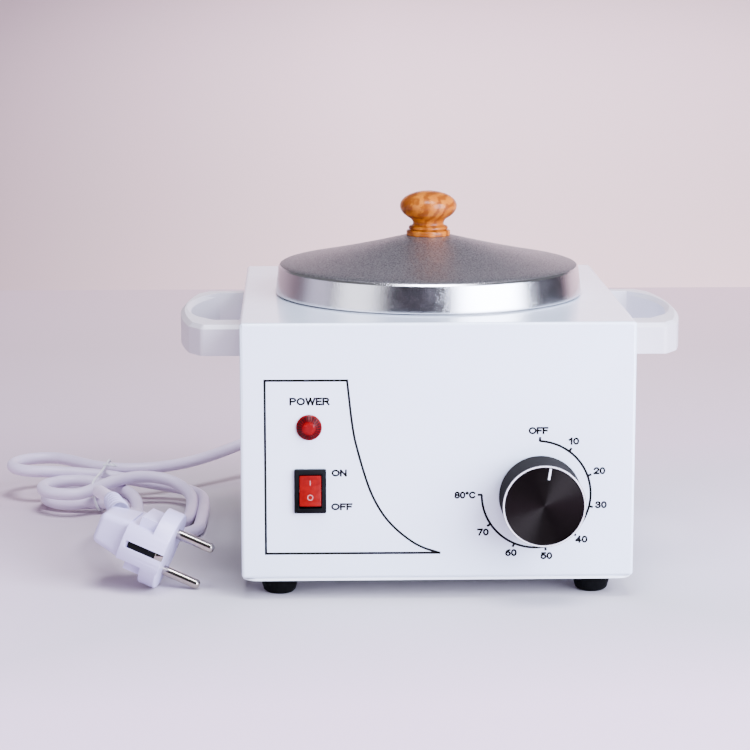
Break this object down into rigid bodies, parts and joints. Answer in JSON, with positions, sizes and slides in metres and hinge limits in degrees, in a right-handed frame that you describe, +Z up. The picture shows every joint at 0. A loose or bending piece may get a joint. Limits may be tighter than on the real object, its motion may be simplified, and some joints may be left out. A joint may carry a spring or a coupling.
{
  "type": "single pot wax warmer",
  "caption": "Square white wax warmer with a lidded round pot, loop handles, rocker switch, lamp and temperature dial, on a corded plug.",
  "frame": {"origin": "on the floor below the pot's axis, the middle of the square casing", "axes": "+Z up, the front panel with the dial faces -Y, +X is to the right of the front panel"},
  "size_m": [0.3494, 0.2916, 0.1822],
  "materials": {
    "shell_white": "gloss white stove enamel",
    "plate_white": "white powder coat",
    "foot_rubber": "black moulded rubber",
    "zinc_steel": "zinc plated",
    "handle_plastic": "light grey-white moulded plastic",
    "lid_aluminium": "sandblasted dome, polished skirt",
    "knob_wood": "clear varnished",
    "pot_aluminium": "spun, bright",
    "well_aluminium": "spun, satin",
    "mica_band": "steel-jacketed mica",
    "glass_fibre": "woven glass fibre",
    "ceramic": "glazed ceramic",
    "brass": "nickel brass",
    "black_plastic": "black moulded plastic",
    "dial_black": "ribbed black plastic",
    "dial_metal": "black spun face with bright ring",
    "pointer_white": "white line",
    "lamp_red": "red translucent",
    "rocker_red": "red translucent",
    "copper": "copper tube",
    "wire_brown": "brown sleeve",
    "wire_blue": "blue sleeve",
    "wire_green": "green and yellow sleeve",
    "cord_white": "white pvc",
    "plug_white": "white moulded pvc",
    "pin_nickel": "nickel plated",
    "tie_white": "coated wire"
  },
  "bodies": {
    "housing": {"housing_shell": "shell_white", "base_plate": "plate_white", "foot_front_left": "foot_rubber", "foot_front_right": "foot_rubber", "foot_rear_left": "foot_rubber", "foot_rear_right": "foot_rubber", "foot_screws": "zinc_steel", "foot_nuts": "zinc_steel", "handle_left": "handle_plastic", "handle_right": "handle_plastic", "handle_screws": "zinc_steel", "heater_well": "well_aluminium", "well_clamp_ring": "zinc_steel", "heater_band": "mica_band", "band_bolt": "zinc_steel", "insulation_sleeve": "glass_fibre", "capillary_bulb": "copper", "capillary_tube": "copper", "thermal_fuse": "ceramic", "bulb_clips": "zinc_steel", "thermostat_body": "ceramic", "thermostat_screws": "zinc_steel", "lamp_lens": "lamp_red", "lamp_body": "black_plastic", "lamp_clip": "zinc_steel", "switch_body": "black_plastic", "terminal_block": "ceramic", "terminal_screws": "brass", "earth_terminal": "brass", "wire_live": "wire_brown", "wire_link": "wire_brown", "wire_heater": "wire_brown", "wire_lamp": "wire_brown", "wire_neutral": "wire_blue", "wire_return": "wire_blue", "wire_earth": "wire_green", "cord_gland": "cord_white", "cord_tube": "cord_white", "cord_tail": "cord_white", "cord_hank": "cord_white", "hank_tie": "tie_white", "plug_body": "plug_white", "plug_pins": "pin_nickel", "plug_clips": "pin_nickel"},
    "pot": {"wax_pot": "pot_aluminium"},
    "lid": {"lid": "lid_aluminium", "lid_knob": "knob_wood", "lid_washer": "zinc_steel", "lid_screw": "zinc_steel"},
    "dial": {"dial_knob": "dial_black", "dial_cap": "dial_metal", "dial_pointer": "pointer_white", "thermostat_shaft": "zinc_steel"},
    "rocker": {"switch_rocker": "rocker_red", "switch_pin": "zinc_steel"}
  },
  "joints": [
    {"name": "pot_lift", "type": "slide", "parent": "housing", "child": "pot", "axis": [0, 0, 1], "range_m": [0, 0.085]},
    {"name": "lid_lift", "type": "slide", "parent": "pot", "child": "lid", "axis": [0, 0, 1], "range_m": [0, 0.06]},
    {"name": "dial_turn", "type": "hinge", "parent": "housing", "child": "dial", "pos_m": [0.0477, -0.097, 0.0495], "axis": [0, 1, 0], "range_deg": [-5, 261]},
    {"name": "rocker_tilt", "type": "hinge", "parent": "housing", "child": "rocker", "pos_m": [-0.0597, -0.0946, 0.0526], "axis": [1, 0, 0], "range_deg": [0, 12]}
  ]
}
